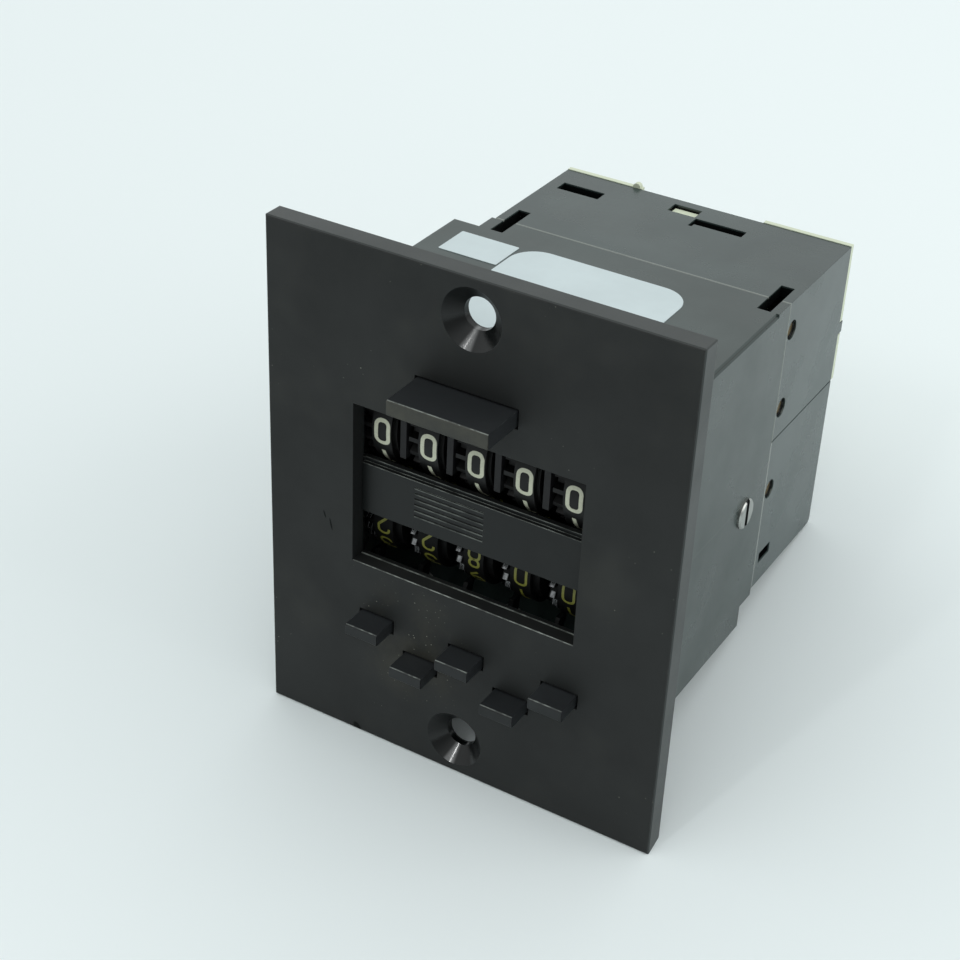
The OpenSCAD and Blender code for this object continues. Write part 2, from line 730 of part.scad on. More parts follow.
module transfer_pinion(i) color(brass) difference() {
    x = shifted(pinion_x, wheel_xs[i]);
    along_x(x, pinion_at) polygon(gear_outline(pinion_teeth, pinion_d / 2));
    rod_x(pinion_shaft_d + 2 * running_gap, grown(x, cut), pinion_at);
}

// Reset key: finger bar, stop behind the plate and a tail that pushes the bail
key_chamfer = 0.2;
module reset_key() color(plate_black) {
    z = about(reset_z, reset_h);
    face = -plate_t - reset_proud;
    difference() {
        span(about(reset_x, reset_w), [face, reset_stop_y[1]], z);
        for (edge = z) bevel_x(key_chamfer, about(reset_x, 2 * reset_w), [face, edge]);
    }
    span(about(reset_x, reset_stop_w), reset_stop_y, z);
    span(about(reset_x, reset_tail_w), [0, reset_tail_y], z);
}

module reset_springs() color(steel) for (side = [-1, 1])
    translate([reset_x + side * reset_spring_x, reset_stop_y[1] + spring_seat, reset_z]) rotate([-90, 0, 0])
        coil_spring(reset_spring_d, spring_wire, reset_post_y[0] - reset_stop_y[1] - 2 * spring_seat, 7);

// Reset bail: a sleeve on its shaft, an arm behind the reset key and one hammer for each count wheel
module reset_bail() color(steel) difference() {
    union() {
        rod_x(bail_d, grown(between_frames, -2 * end_gap), bail_at);
        span(bail_arm_x, shifted(bail_arm_y, bail_at[0]), shifted([0, bail_arm_top], bail_at[1]));
        for (x = wheel_xs) span(shifted(hammer_x, x), shifted(hammer_y, bail_at[0]),
            shifted([-hammer_drop, 0], bail_at[1]));
    }
    rod_x(bail_shaft_d + 2 * running_gap, across_frames, bail_at);
}

// Preset key: finger block, taller stop behind the plate, round stem and an arm up to its ratchet
module preset_key(i) color(plate_black) {
    x = key_x(i);
    z = about(key_z(i), key_h);
    block_z = about(key_z(i), key_block_h);
    face = -plate_t - key_proud;
    arm_x = shifted(key_arm_x, wheel_xs[i]);
    difference() {
        span(about(x, key_w), [face, key_block_y[0]], z);
        for (edge = z) bevel_x(key_chamfer, about(x, 2 * key_w), [face, edge]);
    }
    span(about(x, key_block_w), key_block_y, block_z);
    rod_y(key_stem_d, [key_block_y[1], key_stem_end], [x, key_z(i)]);
    span([arm_x[0], x], key_block_y, z);
    along_x(arm_x) polygon([
        [key_block_y[0], z[0]], [key_block_y[1], z[0]], [key_arm_tip[1], key_arm_tip_z],
        [key_arm_tip[0], key_arm_tip_z], [key_block_y[0], z[1]]]);
}

module preset_spring(i) color(steel)
    translate([key_x(i), key_block_y[1] + spring_seat, key_z(i)]) rotate([-90, 0, 0])
        coil_spring(key_spring_d, spring_wire, key_guide_y[0] - key_block_y[1] - 2 * spring_seat, 6);

module coil_bobbin() color("#d8d2c0") difference() {
    union() {
        rod_z(tube_d, coil_z, coil_at);
        rod_z(coil_d, [coil_z[0], coil_z[0] + flange_t], coil_at);
        rod_z(coil_d, [coil_z[1] - flange_t, coil_z[1]], coil_at);
    }
    rod_z(core_d + 2 * seat_gap, grown(coil_z, cut), coil_at);
}

module coil_winding() color(copper) difference() {
    z = grown(coil_z, -flange_t);
    rod_z(winding_d, z, coil_at);
    rod_z(tube_d, grown(z, cut), coil_at);
}

// Yoke: a cross plate between the frames, an upright with two ears and the core
module magnet_yoke() color(steel) difference() {
    base_z = [coil_z[0] - yoke_t, coil_z[0]];
    union() {
        span(between_frames, [yoke_y[0], frame_y[1]], base_z);
        span(yoke_x, [yoke_y[0], yoke_y[1]], base_z);
        span(yoke_x, yoke_rear, [base_z[0], armature_at[1] - armature_barrel_d / 2 - lift_gap]);
        for (x = [[yoke_x[0], yoke_x[0] + ear_t], [yoke_x[1] - ear_t, yoke_x[1]]])
            span(x, yoke_rear, [base_z[0], armature_at[1] + ear_top]);
        rod_z(core_d, [base_z[1], core_top], coil_at);
    }
    rod_x(armature_pin_d + 2 * seat_gap, grown(yoke_x, cut), armature_at);
}

// Armature: a plate over the core, hinged on its barrel, with an arm beside the drive ratchet
module armature() color(steel) difference() {
    bridge_y = [armature_front, armature_front + armature_bridge];
    union() {
        rod_x(armature_barrel_d, armature_x, armature_at);
        span(armature_x, [armature_front, armature_at[0]], armature_z);
        span([drive_arm_x[0], armature_x[1]], bridge_y, armature_z);
        span(drive_arm_x, [drive_arm_tip, bridge_y[1]], armature_z);
    }
    rod_x(armature_pin_d + 2 * running_gap, grown(armature_x, cut), armature_at);
}

module armature_spring() color(steel) {
    z = [armature_z[1] + spring_seat, tie_rods_at[0][1] - tie_rod_d / 2 - spring_seat];
    translate([armature_spring_at[0], armature_spring_at[1], z[0]])
        coil_spring(armature_spring_d, spring_wire, z[1] - z[0], 8);
}

// Trip lever: a sleeve on its shaft, one feeler for each preset wheel and an arm to the contact block
module trip_lever() color(steel) difference() {
    union() {
        rod_x(trip_d, grown(between_frames, -2 * end_gap), trip_at);
        for (x = wheel_xs) along_x(shifted(trip_finger_x, x)) polygon([
            trip_at + [0, -trip_d / 2], trip_at + [0, trip_d / 2],
            trip_finger_tip, trip_finger_tip - [0, trip_finger_h]]);
        span(trip_arm_x, [trip_at[0], trip_arm_end], about(trip_at[1], trip_arm_t));
    }
    rod_x(trip_shaft_d + 2 * running_gap, across_frames, trip_at);
}

module contact_block() color(board_green) span(contact_x, contact_y, contact_z);

front_plate();
wheel_mask();
front_housing();
rear_upper_shell();
rear_lower_shell();
terminal_board();
terminal_tabs();
terminal_block();
side_screw();
side_pins();
side_frame_left();
side_frame_right();
tie_rods();
wheel_comb();
key_guide();
count_shaft();
preset_shaft();
pinion_shaft();
bail_shaft();
trip_shaft();
armature_pin();
reset_key();
reset_springs();
reset_bail();
coil_bobbin();
coil_winding();
magnet_yoke();
armature();
armature_spring();
trip_lever();
contact_block();
for (i = [0:wheels - 1]) {
    count_wheel(i);
    preset_wheel(i);
    preset_key(i);
    preset_spring(i);
}
for (i = [0:wheels - 2])
    transfer_pinion(i);
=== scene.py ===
"""Dresses the panel counter: finishes for every part, digits on the wheels, stickers, springs and a stage."""
import json
import math

import bmesh
import bpy
from bpy.props import FloatProperty, FloatVectorProperty, PointerProperty
from mathutils import Matrix, Vector

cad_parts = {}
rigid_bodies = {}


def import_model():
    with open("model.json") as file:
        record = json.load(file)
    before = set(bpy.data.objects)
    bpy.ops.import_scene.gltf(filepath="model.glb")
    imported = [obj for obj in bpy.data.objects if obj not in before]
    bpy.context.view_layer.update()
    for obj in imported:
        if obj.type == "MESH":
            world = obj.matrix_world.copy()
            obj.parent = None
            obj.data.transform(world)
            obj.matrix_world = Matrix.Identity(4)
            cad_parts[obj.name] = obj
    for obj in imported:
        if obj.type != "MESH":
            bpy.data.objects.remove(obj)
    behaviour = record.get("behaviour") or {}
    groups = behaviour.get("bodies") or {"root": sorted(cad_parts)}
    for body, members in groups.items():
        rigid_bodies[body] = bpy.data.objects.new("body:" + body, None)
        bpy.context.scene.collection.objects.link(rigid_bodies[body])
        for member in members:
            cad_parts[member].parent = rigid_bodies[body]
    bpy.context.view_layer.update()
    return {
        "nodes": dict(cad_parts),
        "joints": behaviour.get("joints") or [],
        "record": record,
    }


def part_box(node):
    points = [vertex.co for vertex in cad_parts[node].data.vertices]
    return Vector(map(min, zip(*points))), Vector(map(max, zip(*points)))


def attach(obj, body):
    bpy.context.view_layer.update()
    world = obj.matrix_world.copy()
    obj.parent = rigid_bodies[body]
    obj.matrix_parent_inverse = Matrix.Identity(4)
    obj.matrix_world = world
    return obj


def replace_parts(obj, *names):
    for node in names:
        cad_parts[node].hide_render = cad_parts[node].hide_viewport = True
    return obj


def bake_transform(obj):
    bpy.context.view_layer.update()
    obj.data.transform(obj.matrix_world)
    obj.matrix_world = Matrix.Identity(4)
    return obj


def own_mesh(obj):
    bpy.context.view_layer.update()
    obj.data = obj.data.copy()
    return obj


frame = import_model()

bl_info = {
    "name": "Panel counter",
    "version": (1, 0, 0),
    "blender": (4, 5, 0),
    "location": "3D View > Sidebar > Counter",
    "description": "Finishes, digits, stickers, springs and a stage for a panel counter",
    "category": "Object",
}

MM = 0.001
WHEELS = range(1, 6)
PINIONS = range(1, 5)

# The way an upper front edge looks when it faces between the key light and the camera, and how squarely it
# has to look that way to get a painted highlight
UPPER_FRONT = (0.0, -0.71, 0.70)
SQUARELY = (0.93, 0.985)

# Patterns of noise: bumps in a metre, detail, and the levels of noise that become 0 and 1
HANDLING = (55.0, 4.0, 0.35, 0.7)
FILM = (75.0, 2.0, 0.5, 0.8)
CHIPS = (500.0, 3.0, 0.42, 0.68)
RUB_AND_HIGHLIGHT_STREAKS = (900.0, 3.0, 0.4, 0.6)
GLOSS = (90.0, 5.0, 0.3, 0.75)
CLOUDS = (300.0, 3.0, 0.3, 0.7)

# Moulded plastic: its darkest and lightest tone, the weakest streak of the painted highlight on upper front
# edges, and how far its gloss strays
MOULDED_TONES = (0.88, 1.14)
WEAKEST_RUB_AND_HIGHLIGHT = 0.4
GLOSS_STRAY = 0.05

# Dust: specks in a metre and their size, the patches they lie in and how dustiness widens these
SPECKS = (900.0, 0.07)
SPECK_SHARE = 0.6
FILM_SHARE = 0.03
DUST_PATCHES = (60.0, 3.0)
DUST_LEVELS = (0.72, 0.85)
DUST_SPREAD = 0.2

# How much of a plain finish's variation darkens it, and how much lightens it
DARKER, LIGHTER = 0.67, 0.33


def length(name, description, millimetres):
    """A length property whose default is given in millimetres."""
    return FloatProperty(name=name, description=description, default=millimetres * MM,
                         min=0.0, unit="LENGTH", subtype="DISTANCE", precision=5)


def tint(name, description, colour):
    """A colour property in linear values."""
    return FloatVectorProperty(name=name, description=description, default=colour, size=3,
                               min=0.0, max=1.0, subtype="COLOR")


class CounterSizes(bpy.types.PropertyGroup):
    """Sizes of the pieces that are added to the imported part."""

    count_digit_w: length("Count digit width", "Width of a white digit", 2.4)
    count_digit_h: length("Count digit height", "Height of a white digit", 3.85)
    preset_digit_w: length("Preset digit width", "Width of a yellow digit", 1.95)
    preset_digit_h: length("Preset digit height", "Height of a yellow digit", 3.2)
    count_stroke: length("Count digit stroke", "Stroke of a white digit", 0.56)
    preset_stroke: length("Preset digit stroke", "Stroke of a yellow digit", 0.36)
    ink: length("Ink height", "How far a digit stands off its drum", 0.03)
    ratchet_w: length("Ratchet width", "Width of the steel ratchet beside a preset drum", 0.95)
    tooth_h: length("Ratchet teeth", "How far in from the drum's surface the teeth are bright", 0.75)
    sticker_t: length("Sticker thickness", "Thickness of the paper stickers", 0.08)
    sticker_r: length("Sticker corner", "Corner radius of the large sticker", 4.2)
    edge_round: length("Edge rounding", "Rounding of the moulded edges in the shading", 0.08)


class CounterColours(bpy.types.PropertyGroup):
    """Colours of the finishes, in linear values."""

    plate: tint("Plate", "Matte black front plate", (0.0105, 0.0117, 0.0114))
    plate_rim: tint("Plate rim", "Smoother edges of the front plate", (0.033, 0.039, 0.038))
    housing: tint("Housing", "Satin front housing", (0.033, 0.048, 0.045))
    shell: tint("Shells", "Satin rear shells", (0.036, 0.053, 0.051))
    mask: tint("Mask", "Bar and frame in the window", (0.0065, 0.0078, 0.0078))
    key: tint("Keys", "Reset and preset keys", (0.0250, 0.0275, 0.0295))
    # The inside colour is painted shade: insides of the mouldings, countersinks, window walls, key ends and
    # screw slot; it also darkens the plate's marks.
    shade: tint("Inside", "Inner walls of the mouldings", (0.004, 0.005, 0.005))
    soil: tint("Soil", "Handling film on the keys' fronts", (0.085, 0.083, 0.062))
    # The wear colour is also laid as painted highlights along upper front edges, the sill, the bar's edges
    # and lips, and the shells' seams.
    wear_and_highlight: tint("Wear", "Bright spots along worn edges", (0.22, 0.24, 0.22))
    wheel: tint("Wheels", "Drums of the wheels", (0.0045, 0.0045, 0.0045))
    comb: tint("Comb", "Fingers between the count wheels", (0.013, 0.013, 0.014))
    count_ink: tint("Count ink", "White digits", (0.57, 0.58, 0.45))
    preset_ink: tint("Preset ink", "Yellow digits", (0.175, 0.175, 0.026))
    paper: tint("Paper", "Stickers", (0.55, 0.63, 0.645))
    board: tint("Board", "Pale terminal board and blocks", (0.60, 0.65, 0.50))
    steel: tint("Steel", "Bright steel pieces", (0.56, 0.57, 0.56))
    screw: tint("Screw", "Duller steel of the side screw and the tabs", (0.40, 0.41, 0.39))
    ratchet: tint("Ratchets", "Steel of the ratchets' teeth", (0.42, 0.43, 0.44))
    brass: tint("Brass", "Pins and pinions", (0.56, 0.40, 0.17))
    pin: tint("Side pins", "Tarnished pins in the side holes", (0.20, 0.145, 0.07))
    copper: tint("Copper", "Coil winding", (0.42, 0.16, 0.07))
    bobbin: tint("Bobbin", "Coil former", (0.62, 0.57, 0.44))
    dust: tint("Dust", "Specks on the black mouldings", (0.34, 0.34, 0.28))
    grime: tint("Grime", "Brownish film between the preset keys", (0.062, 0.056, 0.038))


class CounterStage(bpy.types.PropertyGroup):
    """Camera, floor and light."""

    lens: FloatProperty(name="Lens", description="Focal length on a 36 mm sensor", default=72.36,
                        min=10.0, unit="CAMERA")
    floor: tint("Floor", "Pale floor", (0.815, 0.87, 0.875))
    floor_bend: length("Floor bend", "How gently the floor levels out before and behind the part", 140.0)
    sky: tint("Surround", "Light of the surround", (0.96, 1.0, 1.0))
    sky_low: FloatProperty(name="Surround low", description="Strength of the surround near the floor",
                           default=0.36, min=0.0)
    sky_high: FloatProperty(name="Surround high", description="Strength of the surround overhead",
                            default=1.06, min=0.0)
    key_power: FloatProperty(name="Key light", description="Power of the light above the front", default=0.35,
                             min=0.0, unit="POWER")
    side_power: FloatProperty(name="Side light", description="Power of the soft light on the right",
                              default=2.2, min=0.0, unit="POWER")


class Wire:
    """A shader socket that takes part in Python arithmetic."""

    def __init__(self, finish, socket):
        self.finish = finish
        self.socket = socket

    def math(self, operation, *values):
        """One Math node over these values."""
        return self.finish.node("ShaderNodeMath", {"operation": operation}, values)

    def __add__(self, other):
        return self.math("ADD", self, other)

    __radd__ = __add__

    def __sub__(self, other):
        return self.math("SUBTRACT", self, other)

    def __rsub__(self, other):
        return self.math("SUBTRACT", other, self)

    def __mul__(self, other):
        return self.math("MULTIPLY", self, other)

    __rmul__ = __mul__

    def __gt__(self, other):
        return self.math("GREATER_THAN", self, other)

    def __lt__(self, other):
        return self.math("LESS_THAN", self, other)

    def __mod__(self, other):
        return self.math("FLOORED_MODULO", self, other)

    def __abs__(self):
        return self.math("ABSOLUTE", self)


class Nodes:
    """A node tree whose nodes are added by type."""

    noise_roughness = 0.6

    def __init__(self, tree):
        self.tree = tree

    def node(self, kind, settings=None, inputs=(), output=0):
        """Add a node: its settings first, then the values or links of its sockets."""
        made = self.tree.nodes.new(kind)
        for key, value in (settings or {}).items():
            setattr(made, key, value)
        for key, value in inputs.items() if isinstance(inputs, dict) else enumerate(inputs):
            self.feed(made.inputs[key], value)
        return Wire(self, made.outputs[output])

    def feed(self, socket, value):
        """Link a wire to a socket, or set the socket's own value."""
        if isinstance(value, Wire):
            self.tree.links.new(value.socket, socket)
        else:
            socket.default_value = value

    def place(self, kind="Object"):
        """Object coordinates in metres, or the direction in a world."""
        return self.node("ShaderNodeTexCoord", output=kind)

    def axes(self, kind="Object"):
        """The three coordinates, each as a wire."""
        split = self.node("ShaderNodeSeparateXYZ", {}, (self.place(kind),)).socket.node
        return [Wire(self, out) for out in split.outputs]

    def noise(self, per_metre, detail=2.0):
        """Noise from 0 to 1 with so many bumps in a metre."""
        return self.node("ShaderNodeTexNoise", {}, {
            "Vector": self.place(), "Scale": per_metre, "Detail": detail, "Roughness": self.noise_roughness})

    def ramp(self, value, low, high, least=0.0, most=1.0):
        """The least at low, the most at high and smooth between."""
        return self.node("ShaderNodeMapRange", {"interpolation_type": "SMOOTHSTEP"}, {
            "Value": value, "From Min": low, "From Max": high, "To Min": least, "To Max": most})

    def clouds(self, per_metre, detail, low, high, least=0.0, most=1.0):
        """A pattern of noise with its levels spread from the least to the most."""
        return self.ramp(self.noise(per_metre, detail), low, high, least, most)

    def mix(self, factor, first, second):
        """A colour between two."""
        return self.node("ShaderNodeMix", {"data_type": "RGBA"}, {0: factor, 6: first, 7: second}, output=2)


class Finish(Nodes):
    """A material with one Principled shader, whose colour is built up in layers."""

    bevel_samples = 6
    edge_turn = (0.01, 0.12)
    grain_per_metre = 9000.0
    grain_depth = 0.03 * MM

    def __init__(self, name):
        self.material = bpy.data.materials.new(name)
        self.material.use_nodes = True
        super().__init__(self.material.node_tree)
        self.shader = self.tree.nodes["Principled BSDF"]
        self.base = None
        self.gloss = None

    def shade(self, **values):
        """Set or link sockets of the shader, named as base_color or roughness."""
        for key, value in values.items():
            self.feed(self.shader.inputs[key.replace("_", " ").title().replace("Ior", "IOR")], value)
        return self.material

    def tone(self, factor, colour, first, second):
        """Start the base with a colour that goes from one level to another."""
        self.base = self.mix(factor, rgba(colour, first), rgba(colour, second))
        self.shade(base_color=self.base)

    def layer(self, factor, colour, level=1.0):
        """Lay a colour over the base where the factor is."""
        self.base = self.mix(factor, self.base, rgba(colour, level))
        self.shade(base_color=self.base)

    def specks(self, per_metre, size):
        """Small round specks, each as bright as chance has it."""
        cells = {"Vector": self.place(), "Scale": per_metre}
        near = self.node("ShaderNodeTexVoronoi", {}, cells, output="Distance")
        chance = self.node("ShaderNodeTexVoronoi", {}, cells, output="Color")
        return (near < size) * self.node("ShaderNodeSeparateColor", {}, (chance,))

    def softened(self, radius):
        """Normals that run round the edges."""
        return self.node("ShaderNodeBevel", {"samples": self.bevel_samples}, {"Radius": radius})

    def along(self, radius, direction):
        """How squarely the softened surface looks along a direction."""
        return self.node("ShaderNodeVectorMath", {"operation": "DOT_PRODUCT"},
                         (self.softened(radius), direction), "Value")

    def edges(self, radius):
        """1 along the edges, 0 on the faces."""
        flat = self.node("ShaderNodeNewGeometry", output="Normal")
        return self.ramp(1.0 - self.along(radius, flat), *self.edge_turn)

    def facing(self, radius, direction, low, high):
        """1 where the softened surface looks along a direction."""
        return self.ramp(self.along(radius, direction), low, high)

    def grained(self, radius, grain):
        """Softened edges with a fine moulded grain."""
        return self.node("ShaderNodeBump", {}, {
            "Strength": grain, "Distance": self.grain_depth, "Height": self.noise(self.grain_per_metre),
            "Normal": self.softened(radius)})


def rgba(colour, level=1.0):
    """A colour property as a socket value."""
    return (*[level * part for part in colour], 1.0)


def moulding(name, colour, colours, edge, *, roughness, grain, dusty, wear_and_highlight, rub_and_highlight=0.0):
    """Dark moulded plastic: cloudy marks, dust, worn edges and, where asked, a painted highlight in rub
    streaks along upper front edges.
    """
    f = Finish(name)
    f.tone(f.clouds(*HANDLING), colour, *MOULDED_TONES)
    levels = [level - DUST_SPREAD * dusty for level in DUST_LEVELS]
    f.layer(f.specks(*SPECKS) * f.clouds(*DUST_PATCHES, *levels, most=SPECK_SHARE), colours.dust)
    f.layer(f.clouds(*FILM, most=FILM_SHARE * dusty), colours.dust)
    f.layer(f.edges(edge) * f.clouds(*CHIPS, most=wear_and_highlight), colours.wear_and_highlight)
    # Painted highlight: the wear colour in streaks on upper front edges that face between the key light and
    # the camera.
    if rub_and_highlight:
        rub_and_highlight_streaks = f.clouds(*RUB_AND_HIGHLIGHT_STREAKS, least=WEAKEST_RUB_AND_HIGHLIGHT * rub_and_highlight, most=rub_and_highlight)
        f.layer(f.facing(edge, UPPER_FRONT, *SQUARELY) * rub_and_highlight_streaks, colours.wear_and_highlight)
    f.gloss = f.clouds(*GLOSS, least=roughness - GLOSS_STRAY, most=roughness + GLOSS_STRAY)
    f.shade(roughness=f.gloss, normal=f.grained(edge, grain))
    return f


def plain(name, colour, roughness, metallic=0.0, variation=0.12, per_metre=CLOUDS[0], specular=0.5):
    """One colour with a little unevenness in its tone and gloss."""
    f = Finish(name)
    cloud = f.clouds(per_metre, *CLOUDS[1:])
    f.tone(cloud, colour, 1 - DARKER * variation, 1 + LIGHTER * variation)
    return f.shade(metallic=metallic, roughness=cloud * variation + (roughness - variation / 2),
                   specular_ior_level=specular)


def paint(material, *names):
    """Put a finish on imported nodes."""
    for name in names:
        for holder in frame["nodes"][name].material_slots:
            holder.material = material


def put(name, data):
    """A new object in the scene."""
    made = bpy.data.objects.new(name, data)
    bpy.context.scene.collection.objects.link(made)
    return made


def mesh_of(name, bm, material):
    """Turn a bmesh into a mesh whose faces point outwards."""
    bmesh.ops.recalc_face_normals(bm, faces=bm.faces)
    mesh = bpy.data.meshes.new(name)
    bm.to_mesh(mesh)
    bm.free()
    mesh.materials.append(material)
    return mesh


def verts_in(geom):
    """The vertices among what an operator made."""
    return [part for part in geom if isinstance(part, bmesh.types.BMVert)]


def push_edge(bm, edge, step):
    """Extrude an edge by a step and give the edge at its end."""
    made = bmesh.ops.extrude_edge_only(bm, edges=[edge])["geom"]
    bmesh.ops.translate(bm, vec=step, verts=verts_in(made))
    edges = [part for part in made if isinstance(part, bmesh.types.BMEdge)]
    return next(part for part in edges if not set(part.verts) & set(edge.verts))


def piece(name, bm, material, body):
    """Turn a bmesh into a finished piece, which rides on a body if one is given."""
    made = put(name, mesh_of(name, bm, material))
    if body:
        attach(made, body)
    return made


def axis_of(body):
    """A point on the axis that a body turns about."""
    return Vector(next(j["pos_m"] for j in frame["joints"] if j["child"] == body))


def within(f, low, high, inset):
    """1 on what lies inside a box by more than the inset, 0 outside and on the box itself."""
    mask = 1.0
    for place, start, end in zip(f.axes(), low, high):
        mask = mask * (place > start + inset) * (place < end - inset)
    return mask


def hole_height():
    """How far the plate's screw holes stand above and below the middle."""
    mount = next(m for m in frame["record"]["mounts"] if m["name"] == "panel_screws")
    return mount["dims"]["spacing_y_mm"] / 2 * MM


class Pen:
    """Draws flat strokes in X and Y by extruding and spinning one edge along a route."""

    arc_step = math.radians(15)
    least_radius = 1.001
    least_run = 0.0001 * MM

    def __init__(self, bm, half):
        self.bm = bm
        self.half = half

    def start(self, point, heading):
        """An edge across the stroke's start."""
        side = Vector((-heading.y, heading.x, 0)) * self.half
        ends = [self.bm.verts.new(point + side), self.bm.verts.new(point - side)]
        return self.bm.edges.new(ends)

    def turn(self, edge, centre, angle):
        """Spin the edge round a corner."""
        steps = max(1, round(abs(angle) / self.arc_step))
        made = bmesh.ops.spin(self.bm, geom=[*edge.verts, edge], cent=centre, axis=(0, 0, 1),
                              angle=angle, steps=steps, use_duplicate=False)["geom_last"]
        return next(part for part in made if isinstance(part, bmesh.types.BMEdge))

    def stroke(self, corners, closed=False):
        """Follow corners of (x, y, radius); a closed stroke joins its ends."""
        spots = [Vector((x, y, 0)) for x, y, _ in corners]
        radii = [max(r, self.half * self.least_radius) for _, _, r in corners]
        count = len(spots)
        legs = [(spots[i], spots[(i + 1) % count]) for i in range(count if closed else count - 1)]
        bends = []
        for i in range(count):
            if not closed and i in (0, count - 1):
                bends.append((0.0, 0.0))
                continue
            before = (spots[i] - spots[i - 1]).normalized()
            after = (spots[(i + 1) % count] - spots[i]).normalized()
            angle = math.atan2(before.x * after.y - before.y * after.x, before.dot(after))
            bends.append((angle, radii[i] * math.tan(abs(angle) / 2)))
        edge = None
        for i, (first, last) in enumerate(legs):
            ahead = (last - first).normalized()
            trim = bends[i][1]
            angle, cut = bends[(i + 1) % count]
            if edge is None:
                edge = self.start(first + ahead * trim, ahead)
            run = (last - first).length - trim - cut
            if run > self.least_run:
                edge = push_edge(self.bm, edge, ahead * run)
            if angle:
                corner = last - ahead * cut
                side = Vector((-ahead.y, ahead.x, 0)) * math.copysign(radii[(i + 1) % count], angle)
                edge = self.turn(edge, corner + side, angle)


def digit_strokes(digit, w, h):
    """Strokes of a plain digit with half width w and half height h, as (corners, closed)."""
    r = 0.82 * w
    upper = [(-w, 0.12 * h, r), (-w, h, r), (w, h, r), (w, 0.12 * h, r)]
    lower = [(-w, -h, r), (-w, 0.12 * h, r), (w, 0.12 * h, r), (w, -h, r)]
    six = [(lower, True), ([(-w, -0.3 * h, 0), (-w, 0.42 * h, 0.6 * w), (0.45 * w, h, 0)], False)]
    shapes = {
        0: [([(-w, -h, r), (-w, h, r), (w, h, r), (w, -h, r)], True)],
        1: [([(0.15 * w, -h, 0), (0.15 * w, h, 0)], False),
            ([(-0.6 * w, 0.62 * h, 0), (0.12 * w, 0.98 * h, 0)], False)],
        2: [([(-w, 0.45 * h, 0), (-w, h, r), (w, h, r), (w, 0.1 * h, 0.5 * w),
              (-0.95 * w, -0.97 * h, 0)], False),
            ([(-1.1 * w, -h, 0), (1.1 * w, -h, 0)], False)],
        3: [([(-w, 0.55 * h, 0), (-w, h, r), (w, h, r), (w, 0.1 * h, 0.7 * w),
              (-0.3 * w, 0.1 * h, 0)], False),
            ([(-0.3 * w, 0.1 * h, 0), (w, 0.1 * h, r), (w, -h, r), (-w, -h, r),
              (-w, -0.5 * h, 0)], False)],
        4: [([(0.3 * w, h, 0), (-w, -0.4 * h, 0), (1.15 * w, -0.4 * h, 0)], False),
            ([(0.5 * w, 0.2 * h, 0), (0.5 * w, -h, 0)], False)],
        5: [([(w, h, 0), (-w, h, 0), (-w, 0.15 * h, 0), (w, 0.15 * h, r), (w, -h, r), (-w, -h, r),
              (-w, -0.55 * h, 0)], False)],
        6: six,
        7: [([(-w, h, 0), (w, h, 0), (-0.3 * w, -h, 0)], False)],
        8: [([(x * 0.86, y, s * 0.86) for x, y, s in upper], True), (lower, True)],
        9: [([(-x, -y, s) for x, y, s in corners], closed) for corners, closed in six],
    }
    return shapes[digit]


def wheel_digits(name, body, x, first, width, height, stroke, ink, material):
    """All ten digits round a drum, upside down as the unit stands, with this one in front."""
    count, bands = 10, 9
    merge, cut = stroke / 50, 0.00001 * MM
    axis = axis_of(body)
    radius = axis.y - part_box(body)[0][1]
    inner = radius - ink / 2
    outwards = (radius + ink) / inner
    bm = bmesh.new()
    for step in range(count):
        flat = bmesh.new()
        pen = Pen(flat, stroke / 2)
        strokes = digit_strokes((first + step) % count, (width - stroke) / 2, (height - stroke) / 2)
        for corners, closed in strokes:
            pen.stroke(corners, closed)
        bmesh.ops.remove_doubles(flat, verts=flat.verts, dist=merge)
        bmesh.ops.rotate(flat, cent=(0, 0, 0), matrix=Matrix.Rotation(math.pi, 3, "Z"), verts=flat.verts)
        for band in range(1, bands):
            level = height * (band / bands - 0.5)
            bmesh.ops.bisect_plane(flat, geom=[*flat.verts, *flat.edges, *flat.faces], dist=cut,
                                   plane_co=(0, level, 0), plane_no=(0, 1, 0))
        for vert in flat.verts:
            along, up = vert.co.x, vert.co.y / radius - step * math.tau / count
            vert.co = Vector((x + along, axis.y - inner * math.cos(up), axis.z + inner * math.sin(up)))
        grown = bmesh.ops.extrude_face_region(flat, geom=flat.faces[:])["geom"]
        bmesh.ops.scale(flat, vec=(1, outwards, outwards), space=Matrix.Translation(-axis),
                        verts=verts_in(grown))
        part = bpy.data.meshes.new("digit")
        flat.to_mesh(part)
        flat.free()
        bm.from_mesh(part)
        bpy.data.meshes.remove(part)
    return piece(name, bm, material, body)


